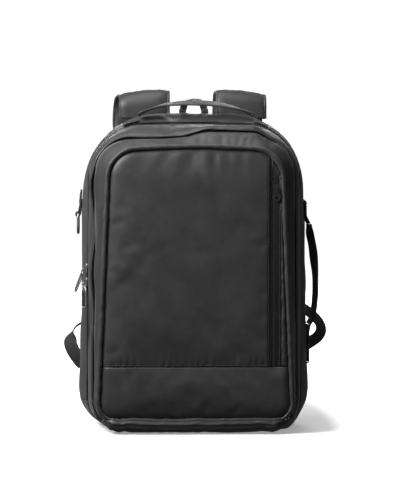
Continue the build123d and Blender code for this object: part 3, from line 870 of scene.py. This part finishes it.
POCKET_ZIP = (114.4, FRONT_Y - 2.6, 0)
flat_zip("pocket_zip", POCKET_ZIP, (1, 0, 0), (0, -1, 0), 94, 366, 6.4, "front_section", "pocket_zip")
CORNER_X, CORNER_Z, CORNER_RADIUS = 94, 371, 26.2
corner_rows = []
for x in steps_between(POCKET_ZIP[0] - 6.6, POCKET_ZIP[0] + 5.2, 2):
    reach = CORNER_Z + sqrt(CORNER_RADIUS ** 2 - (x - CORNER_X) ** 2)
    corner_rows.append([(x, FRONT_Y - 1.2, z) for z in steps_between(364, reach, 3)][:4]
                       + [(x, FRONT_Y - 1.2, reach)])
corner = face_outwards(grid_mesh("pocket_corner_cloth", corner_rows))
wrinkle(corner, 0.8, 8, seed=6.0)
# The corner cloth also gets the darker SHADED cloth: painted shade under the fly.
finish_piece(thicken(corner, 1.0), "front_section", SHADED, "shell_fabric")
LEAN = radians(7)
LAPTOP_SLIDER_Z = 122
LAPTOP_OUT = (cos(LEAN), sin(LEAN), 0)
LAPTOP_ACROSS = (-sin(LEAN), cos(LEAN), 0)
flat_zip("laptop_zip", (163.0, 62, 0), LAPTOP_ACROSS, LAPTOP_OUT, 48, 326, 5.9, "bag", "laptop_zip")

# ---- sliders, pulls, ring and buckles keep their CAD shape
for material, bevel, names in (
        (METAL, 0.3, ("main_slider_upper", "main_slider_lower", "laptop_slider")),
        (BLACKENED, 0.3, ("pocket_slider", "pocket_pull")),
        (METAL, 0, ("d_ring",)),
        (BUCKLE, 0.6, ("ladder_lock_left", "ladder_lock_right")),
        (BOARD, 0.5, ("frame_sheet", "base_stiffener"))):
    for node in (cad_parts[name] for name in names):
        node.data.materials.clear()
        node.data.materials.append(material)
        if bevel:
            add_modifier(node, "BEVEL", width=bevel * MM, segments=2, limit_method="ANGLE")
            add_modifier(node, "WEIGHTED_NORMAL")


def wire_pull(node, body, pivot, across, down, twist, lean=0.0):
    """A long wire loop on a small link, twisted about its own length; it may lean sideways."""
    pivot, across, down = Vector(pivot), Vector(across).normalized(), Vector(down).normalized()
    out = across.cross(down).normalized()

    def place(u, v, w=0.0):
        """A point at u across, v down and w out of the pull, after its twist and lean."""
        turn = radians(twist) * smooth_step((v - 3) / 7)
        aside = lean * smooth_step((v - 3) / 9)
        return pivot + across * (u * cos(turn) + aside) + out * (u * sin(turn) + w) + down * v

    half, first, last = 3.1, 8.6, 32.6
    route = []
    for sign, here, there in ((1, last, first), (-1, first, last)):
        bend = (pi * k / 8 for k in range(9))
        route += [(sign * half * cos(a), here + sign * half * sin(a)) for a in bend]
        route += [(-sign * half, here + (there - here) * k / 12) for k in range(1, 12)]
    level = across * -sin(radians(twist)) + out * cos(radians(twist))
    loop = tube(f"{node}_loop", [tuple(place(u, v)) for u, v in route], 1.15, closed=True, level=level)
    finish_piece(loop, body, METAL, "zip_metal", node)
    plate = grid_mesh(f"{node}_plate", [
        [tuple(place(side * (half - 0.7), first - 1 + (last - first + 2) * k / 16)) for k in range(17)]
        for side in (-1, 0, 1)
    ])
    finish_piece(thicken(plate, 0.8, 0.0), body, BUCKLE, "zip_metal")
    link = tube(f"{node}_link", [tuple(place(0, 2.9 + 3.3 * cos(a), 2.2 * sin(a)))
                                 for a in circle(16)],
                0.7, closed=True, sides=6, level=across)
    finish_piece(link, body, METAL, "zip_metal")


PULL_PIVOT = 2.8
SIDE_WALL = -155.5
swing = radians(21)
wire_pull("main_pull_upper", "upper_pull", (SIDE_WALL - PULL_PIVOT, ZIP_Y, 230), (0, -1, 0),
          (-sin(swing), 0, -cos(swing)), 26, -3.2)
wire_pull("main_pull_lower", "lower_pull", (SIDE_WALL - PULL_PIVOT, ZIP_Y, 210), (0, -1, 0),
          (0, 0, -1), 62, 5.6)
wire_pull("laptop_pull", "laptop_zip_pull",
          (164.4 + PULL_PIVOT * LAPTOP_OUT[0], 62 + PULL_PIVOT * LAPTOP_OUT[1], LAPTOP_SLIDER_Z),
          LAPTOP_ACROSS, (0, 0, -1), 30)

# ---- handles and sewn webbing
def surface_path(y, picked, lift, count=400):
    """Points of the outline at a depth that pass a test, pushed out from the cloth by lift."""
    return [Vector((x, y, z)) for x, z in resample(outline(y, -lift), count) if picked(x, z)]


def box_stitch(name, middle, along, across, out, length, width, body):
    """A sewn box with a cross in it."""
    middle, along, across = Vector(middle), Vector(along).normalized(), Vector(across).normalized()
    corners = [middle + along * (length / 2 * a) + across * (width / 2 * b)
               for a, b in ((-1, -1), (1, -1), (1, 1), (-1, 1))]
    route = corners + [corners[0], corners[2], corners[1], corners[3]]
    piece = stitches(name, [tuple(p) for p in route], out, length=2.4, gap=0.9)
    return finish_piece(piece, body, THREAD, "webbing")


def webbing_piece(name, path, across, width, thickness, body, *nodes, creases=None):
    """A finished piece of webbing; creases are the amount, length and seed of its unevenness."""
    piece = ribbon(name, path, across, width, thickness)
    if creases:
        wrinkle(piece, *creases)
    return finish_piece(piece, body, WEBBING, "webbing", *nodes)


HANDLE_Y = 5
handle_path = catmull([(x, HANDLE_Y, z) for x, z in (
    (-80, 449.6), (-68, 456.5), (-46, 463.8), (-18, 467), (12, 467.4), (38, 464.6), (60, 460), (76, 454.5),
    (86, 449.6))], 8)
handle_across = [Vector((0, 1, 0.28 * sin(pi * (1.6 * i / (len(handle_path) - 1) - 0.3))))
                 for i in range(len(handle_path))]
webbing_piece("top_handle_strap", handle_path, handle_across, WEB_WIDTH, 3.0, "carry_handle", "top_handle",
              creases=(0.5, 18, 9.0))
for name, low, high in (("left", -103, -78.5), ("right", 84.5, 108)):
    path = surface_path(HANDLE_Y, lambda x, z: z > 380 and low < x < high, 0.6)
    webbing_piece(f"top_handle_tab_{name}", path, (0, 1, 0), 24, 1.8, "bag", "top_handle_tabs")
    middle = path[len(path) // 2]
    along = path[-3] - path[2]
    out = along.cross(Vector((0, 1, 0)))
    out = out if out.z > 0 else -out
    box_stitch(f"top_handle_tab_stitch_{name}", middle + out.normalized() * 1.2, along, (0, 1, 0), out,
               16, 18, "bag")

SIDE_Y, SIDE_X = 30, 167.5
side_path = catmull([(SIDE_X + out, SIDE_Y, z) for out, z in (
    (-0.6, 146.2), (4.6, 157), (8.2, 178), (9.2, 200), (8.4, 226), (5.6, 254), (1.6, 276), (-0.6, 291.8))], 8)
side_across = [Vector((-0.26 - 0.18 * window(p[2], 205, 45, 291, 14), 1, 0))
               for p in side_path]
webbing_piece("side_handle_strap", side_path, side_across, WEB_WIDTH, 3.0, "side_grab_handle", "side_handle",
              creases=(0.5, 20, 14.0))
for name, start, bend, end in (("low", 112, 134, 145.6), ("high", 326, 304, 292.4)):
    wall = [max(p.x for p in surface_path(SIDE_Y, lambda x, z: abs(z - level) < 3, 0.6))
            for level in (start, bend)]
    path = catmull([(wall[0], SIDE_Y, start), ((wall[0] + wall[1]) / 2, SIDE_Y, (start + bend) / 2),
                    (wall[1] + 0.6, SIDE_Y, bend), (SIDE_X - 0.8, SIDE_Y, end)], 6)
    webbing_piece(f"side_handle_tab_{name}", path, (-0.2, 1, 0), 24, 2.2, "bag", "side_handle_tabs")
    box_stitch(f"side_handle_tab_stitch_{name}", path[6] + Vector((1.3, 0.2, 0)), (0, 0, 1),
               (-0.2, 1, 0), (1, 0.2, 0), 17, 18, "bag")

LOOP_Y = 60
loop_path = catmull([(x, LOOP_Y, z) for x, z in (
    (-15, 457.7), (-12.5, 464), (-8.5, 469.6), (-3, 471.8), (4, 472.4), (9.5, 470.6), (13.4, 464.6),
    (16, 457.7))], 6)
loop_across = []
for i in range(len(loop_path)):
    turn = radians(18 + 72 * sin(pi * i / (len(loop_path) - 1)) ** 2)
    loop_across.append(Vector((cos(turn), sin(turn), 0)))
webbing_piece("hang_loop_strap", loop_path, loop_across, 11, 1.8, "hanging_loop", "hang_loop")
loop_base = surface_path(LOOP_Y, lambda x, z: z > 400 and -24 < x < 24, 1.2)
webbing_piece("hang_loop_base", loop_base, (0, 1, 0), 12, 2.0, "bag", "hang_loop_tab")
for name, foot in (("left", -15), ("right", 16)):
    stub = [Vector((foot + copysign(out, foot), LOOP_Y, z))
            for out, z in ((1.6, 448), (0.8, 453), (0.2, 458.4))]
    webbing_piece(f"hang_loop_stub_{name}", stub, loop_across[0], 11, 2.0, "bag")

# The ring's keeper is webbing folded round the ring's rod.
RING = Vector((-167.4, 44, 306))
turns = [radians(t) for t in range(70, 291, 20)]
keeper_path = catmull([(-162.6, 44, 342), (-163.4, 44, 330), (-164.6, 44, 319), (-166.2, 44, 311.5)]
                      + [tuple(RING + Vector((cos(t), 0, sin(t))) * 3.2) for t in turns]
                      + [(-164.4, 44, 307), (-163.6, 44, 316), (-162.8, 44, 328)], 4)
webbing_piece("d_ring_keeper_web", keeper_path, (0, 1, 0), 21, 2.6, "bag", "d_ring_keeper")
box_stitch("d_ring_keeper_stitch", (-165.0, 44, 330), (0.1, 0, 1), (0, 1, 0), (-1, 0, 0), 15, 16, "bag")

# ---- back of the bag
def copy_of_node(name, node):
    """A new object with a copy of a CAD node's mesh."""
    return new_object(name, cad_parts[node].data.copy())


def sheet_wall(name, node, body, material, slot, voxel, amount, seed):
    """A soft wall: the CAD panel remeshed, softened and lightly wrinkled."""
    wall = copy_of_node(name, node)
    add_modifier(wall, "REMESH", mode="VOXEL", voxel_size=voxel * MM)
    add_modifier(wall, "SMOOTH", factor=0.5, iterations=6)
    apply_modifiers(wall)
    wrinkle(wall, amount, 60, seed=seed)
    return finish_piece(wall, body, material, slot, node)


sheet_wall("pocket_lining_cloth", "pocket_lining", "front_section", LINING, "lining", 1.3, 1.2, 1.0)
sheet_wall("laptop_divider_pad", "laptop_divider", "bag", LINING, "lining", 2.0, 1.2, 2.0)
sheet_wall("back_panel_cloth", "back_panel", "bag", SHELL, "shell_fabric", 1.5, 0.8, 3.0)
sheet_wall("strap_yoke_cloth", "strap_yoke", "bag", SHELL, "shell_fabric", 1.3, 0.5, 4.0)


def foam_pad(name, node, seed):
    """A sewn foam pad: the CAD block shrunk, remeshed and inflated against its seams, with cross channels."""
    low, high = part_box(node)
    pad = copy_of_node(name, node)
    middle = [(a + b) / 2 for a, b in zip(low, high)]
    for vertex in pad.data.vertices:
        vertex.co.x = middle[0] + (vertex.co.x - middle[0]) * 0.985
        vertex.co.z = middle[2] + (vertex.co.z - middle[2]) * 0.985
        vertex.co.y = low[1] + (vertex.co.y - low[1]) * 0.8
    add_modifier(pad, "REMESH", mode="VOXEL", voxel_size=4.5 * MM)
    apply_modifiers(pad)
    back = low[1] + 2.5 * MM
    flat = [v.co.y < back for v in pad.data.vertices]
    drape(pad, lambda i: flat[i], pressure=4.0, slack=0.0, cap=5, frames=14)
    subdivide(pad)
    for vertex in pad.data.vertices:
        channel = abs(((vertex.co.z / MM - middle[2] / MM) % 44) - 22)
        if vertex.co.y > back:
            vertex.co.y -= 2.2 * bell(channel, 3.0) * MM
    wrinkle(pad, 0.5, 14, seed=seed)
    finish_piece(pad, "bag", MESH, "mesh", node)


foam_pad("back_pad_left_foam", "back_pad_left", 1.0)
foam_pad("back_pad_right_foam", "back_pad_right", 2.0)
foam_pad("lumbar_pad_foam", "lumbar_pad", 3.0)

# ---- shoulder straps
STRAP_ROUTE = ((96, 443), (97, 480), (148, 480), (152, 380), (140, 270), (121, 202))
STRAP_RADII = (20, 26, 160, 160)
STRAP_THICK = 11.0
PAD_POINTS = 32
STRAP_TOP, STRAP_END = (35, 107), (69, 119)
CURVE_TOP, END_Z = 340, 196


def rounded_route(points, radii, steps=10):
    """A polyline in the Y-Z plane with arcs at its corners."""
    out = [Vector((0, *points[0]))]
    for before, corner, after, radius in zip(points, points[1:], points[2:], radii):
        a, c, b = Vector((0, *before)), Vector((0, *corner)), Vector((0, *after))
        u, w = (a - c).normalized(), (b - c).normalized()
        half = u.angle(w) / 2
        reach = radius / tan(half)
        centre = c + (u + w).normalized() * (radius / sin(half))
        start, end = c + u * reach, c + w * reach
        ra, rb = start - centre, end - centre
        sweep = ra.angle(rb)
        for k in range(steps + 1):
            t = k / steps
            out.append(centre + (ra * sin((1 - t) * sweep) + rb * sin(t * sweep)) / sin(sweep))
    out.append(Vector((0, *points[-1])))
    return out


def strap_limits(point):
    """Inner and outer X of a strap at a point of its route, for the right strap."""
    if point.y < 125 and point.z > 330:
        return STRAP_TOP
    t = smooth_step((CURVE_TOP - point.z) / (CURVE_TOP - END_Z))
    return tuple(a + (b - a) * t for a, b in zip(STRAP_TOP, STRAP_END))


route = [Vector((0, *p))
         for p in resample([(p.y, p.z) for p in rounded_route(STRAP_ROUTE, STRAP_RADII)], 110)]


def route_frames():
    """Each route point with the direction out of the strap's outer face."""
    for i, point in enumerate(route):
        ahead = route[min(i + 1, len(route) - 1)] - route[max(i - 1, 0)]
        yield point, Vector((1, 0, 0)).cross(ahead.normalized())


def strap_pose(side, point):
    """How far a strap leans over and is pushed outwards where it bends down at the top."""
    over = smooth_step((point.z - 455) / 22)
    behind = bell(point.z - 440, 60) * smooth_step((point.y - 118) / 22)
    return 0.085 * over, (10 if side < 0 else -4) * behind


def lower_webbing(side, name, body):
    """The loose webbing under a strap: it hangs in a curve, and turns on its edge on its way to the tab."""
    fall = Vector((0, -30, -102)).normalized()

    def hang(x, z):
        return Vector((side * x, 114, 176)) + fall * ((z - 176) / fall.z)

    spots = {
        "left": ((98, 176), (130, 158), (158, 145), (172, 137), (180, 124), (179, 108), (169, 91), (161, 81),
                 (163.8, 74.5)),
        "right": ((98, 176), (134, 172), (160, 165), (175, 155), (187, 142.5), (189.5, 131), (184, 121),
                  (173, 113.5), (162, 106), (159, 90), (163.8, 74.5)),
    }[name]
    line = catmull([hang(*spot) for spot in spots], 8)
    face = Vector((side, 0, 0)).cross(fall)
    hub = Vector((side * {"left": 150, "right": 162}[name], 0, {"left": 130, "right": 134}[name]))
    across = []
    for i, point in enumerate(line):
        share = i / (len(line) - 1)
        away = Vector((point.x - hub.x, 0, point.z - hub.z)).normalized()
        turn = {"left": 0.1 + 0.85 * smooth_step((share - 0.42) / 0.16), "right": 0.62}[name]
        turn *= window(share, 0, 0.2, 1, 0.16)
        across.append((face * (1 if face.y > 0 else -1) * (1 - 0.45 * turn) + away * turn).normalized())
    webbing_piece(f"lower_webbing_strap_{name}", line, across, WEB_WIDTH, 1.8, body, f"lower_webbing_{name}",
                  creases=(0.4, 16, side))
    anchor_line = catmull([hang(*spot) for spot in ((163.6, 73.5), (160, 69), (156.5, 64.5))], 4)
    webbing_piece(f"strap_anchor_tab_{name}", anchor_line, face, WEB_WIDTH, 3.0, "bag",
                  f"strap_anchor_{name}")


def strap(side, name):
    """A shoulder strap: padded top part, bound edges, mesh liner, load webbing and lower webbing."""
    body = f"strap_{name}"
    rows, edge_in, edge_out = [], [], []
    for point, outer in route_frames():
        low_x, high_x = strap_limits(point)
        middle, half = (low_x + high_x) / 2, (high_x - low_x) / 2
        tilt, lean = strap_pose(side, point)
        middle += lean
        low_x, high_x = low_x + lean, high_x + lean
        row = []
        for angle in circle(PAD_POINTS):
            wide = rounded(cos(angle), 0.45) * (half - 1.0)
            crown = 0.62 + 0.38 * (1 - (wide / half) ** 2)
            thick = rounded(sin(angle), 0.55) * (STRAP_THICK / 2) * crown
            thick -= copysign(0.9 * bell(abs(wide) - 15.5, 1.6), thick)
            row.append(tuple(point + Vector((side * (middle + wide), 0, -wide * tilt)) + outer * thick))
        rows.append(row)
        edge_in.append(point + Vector((side * (low_x + 0.8), 0, half * tilt)))
        edge_out.append(point + Vector((side * (high_x - 0.8), 0, -half * tilt)))
    pad = grid_mesh(f"shoulder_strap_{name}", rows, closed=True)
    close_ends(pad, PAD_POINTS)
    wrinkle(pad, 1.4, 30, stretch=(0.7, 1, 1), seed=side * 7.0)
    wrinkle(pad, 0.5, 11, seed=side * 3.0)
    finish_piece(pad, body, SHELL, "shell_fabric", f"shoulder_pad_{name}")
    for label, line in (("inner", edge_in), ("outer", edge_out)):
        binding = tube(f"strap_binding_{label}_{name}", line, 2.3, sides=10, level=(1, 0, 0))
        finish_piece(binding, body, PIPING, "piping")

    liner_rows = []
    for point, outer in route_frames():
        if point.y < 112 or point.z > 452 or point.z < END_Z + 8:
            continue
        low_x, high_x = (x + strap_pose(side, point)[1] for x in strap_limits(point))
        liner_rows.append([
            tuple(point + Vector((side * (low_x + 5 + (high_x - low_x - 10) * k / 14), 0, 0))
                  - outer * (STRAP_THICK / 2 + 0.5 - 1.2 * abs(k / 7 - 1) ** 3)) for k in range(15)
        ])
    liner = face_outwards(grid_mesh(f"shoulder_liner_mesh_{name}", liner_rows), (side * 80, 200, 300))
    wrinkle(liner, 0.5, 12, seed=side * 5.0)
    finish_piece(thicken(liner, 1.0), body, MESH, "mesh", f"shoulder_liner_{name}")

    web_line = []
    for point, outer in route_frames():
        if point.y > 130 and point.z < 455 or (point.y > 118 and point.z < 300):
            t = (point.z - END_Z) / (455 - END_Z)
            x = 94 + (71 - 94) * max(0.0, min(1.0, t)) + strap_pose(side, point)[1]
            web_line.append(point + Vector((side * x, 0, 0)) + outer * (STRAP_THICK / 2 + 0.6))
    webbing_piece(f"strap_webbing_strip_{name}", web_line, (1, 0, 0), WEB_WIDTH, 1.8, body,
                  f"strap_webbing_{name}")
    for share in (0.18, 0.42, 0.66, 0.9):
        at = web_line[int(share * (len(web_line) - 1))]
        tack = stitches(f"strap_bartack_{name}_{round(share * 100)}",
                        [tuple(at + Vector((-10, 1.2, 0))), tuple(at + Vector((10, 1.2, 0)))], (0, 1, 0),
                        length=1.2, gap=0.2, radius=0.6)
        finish_piece(tack, body, THREAD, "webbing")
    lower_webbing(side, name, body)


strap(-1, "left")
strap(1, "right")

# ---- seams and stitching
STITCH_Y = FRONT_Y - 6.6
for offset in (2.2, 5.8):
    line = [(x, STITCH_Y, PANEL_SEAM_Z + offset) for x in steps_between(-124, 102, 6)]
    row = stitches(f"panel_seam_stitch_{round(offset * 10)}", line, (0, -1, 0))
    finish_piece(row, "front_section", THREAD, "piping")
fly = stitches("fly_stitch", [(FLY_X - 4, STITCH_Y, z) for z in steps_between(98, 392, 6)], (0, -1, 0))
finish_piece(fly, "front_section", THREAD, "piping")

# ---- stage, lights and camera
def glowing_paper(name, value, painted_shadow_glow):
    """Matt white paper that glows, as painted light: weakly in an oval round the bag, so that the lamps'
    shadow shows there, and fully away from it, which paints the lamps' shadow out.
    """
    material, shader, feed, add = new_material(name)
    place = add("ShaderNodeTexCoord", "Object", {})
    tone = add("ShaderNodeTexNoise", "Fac", {"Vector": place, "Scale": 3.0})
    # The oval is stretched in depth, so that the painted shadow reaches far back but little to the side.
    flat = add("ShaderNodeVectorMath", "Vector", {0: place, 1: (1.0, 0.3, 0.0)}, operation="MULTIPLY")
    far = add("ShaderNodeVectorMath", "Value", {0: flat, 1: (0.03, 0.01, 0.0)}, operation="DISTANCE")
    glow = add("ShaderNodeMapRange", "Result", {"Value": far, "From Min": 0.165, "From Max": 0.2,
                                                "To Min": painted_shadow_glow, "To Max": 1.0})
    feed(shader, {"Base Color": tint(add, tone, (0.0, value * 0.99), (1.0, value)), "Roughness": 0.9,
                  "Emission Color": (1, 1, 1, 1), "Emission Strength": glow})
    return material


sweep_profile = [(r, 0.0) for r in (0, 60, 120, 180, 240, 320, 420, 600, 1000, 2000, 4000, 6200)]
sweep_profile += [(6700, 150), (7000, 600), (7000, 3000), (6800, 6000), (5000, 8500), (2500, 9400), (1, 9600)]
sweep = grid_mesh("studio_sweep", [
    [(r * cos(a), r * sin(a), z) for a in circle(64)]
    for r, z in sweep_profile
], flip=True, closed=True)
sweep.data.materials.append(glowing_paper("sweep_paper", 0.9, 0.3))
set_values(sweep, visible_diffuse=False, visible_glossy=False, visible_shadow=False)


# Square area lights that face the bag: name, place, size in millimetres and power in watts.
AIM = Vector((0, 0, 240))
for name, place, size, power in (("key", (-900, -650, 1050), 600, 30), ("top", (-250, -150, 1500), 900, 10),
                                 ("back", (0, 2600, 900), 1000, 30), ("fill", (900, -2200, 700), 1200, 6)):
    light = set_values(bpy.data.lights.new(name, "AREA"), shape="SQUARE", size=size * MM, energy=power)
    set_values(new_object(name, light), location=Vector(place) * MM,
               rotation_euler=(AIM - Vector(place)).to_track_quat("-Z", "Y").to_euler())

world = bpy.data.worlds.new("studio")
bpy.context.scene.world = world
world.use_nodes = True
world.node_tree.nodes["Background"].inputs["Color"].default_value = (1, 1, 1, 1)
world.node_tree.nodes["Background"].inputs["Strength"].default_value = 0.05

camera_data = bpy.data.cameras.new("camera")
camera = new_object("camera", camera_data)
CAMERA_DISTANCE, CAMERA_TURN, CAMERA_LIFT = 4200, -1.2, 3.5
SENSOR, VIEW_HEIGHT = 24, 720
LOOK_AT = Vector((8.6, 0, 256))
turn, lift = radians(CAMERA_TURN), radians(CAMERA_LIFT)
way = Vector((sin(turn) * cos(lift), -cos(turn) * cos(lift), sin(lift)))
camera.location = (LOOK_AT + way * CAMERA_DISTANCE) * MM
camera.rotation_euler = (-way).to_track_quat("-Z", "Y").to_euler()
camera_data.sensor_fit = "VERTICAL"
camera_data.sensor_height = SENSOR
camera_data.lens = SENSOR * CAMERA_DISTANCE / VIEW_HEIGHT
camera_data.clip_end = 50
bpy.context.scene.camera = camera
bpy.context.scene.view_settings.view_transform = "Standard"
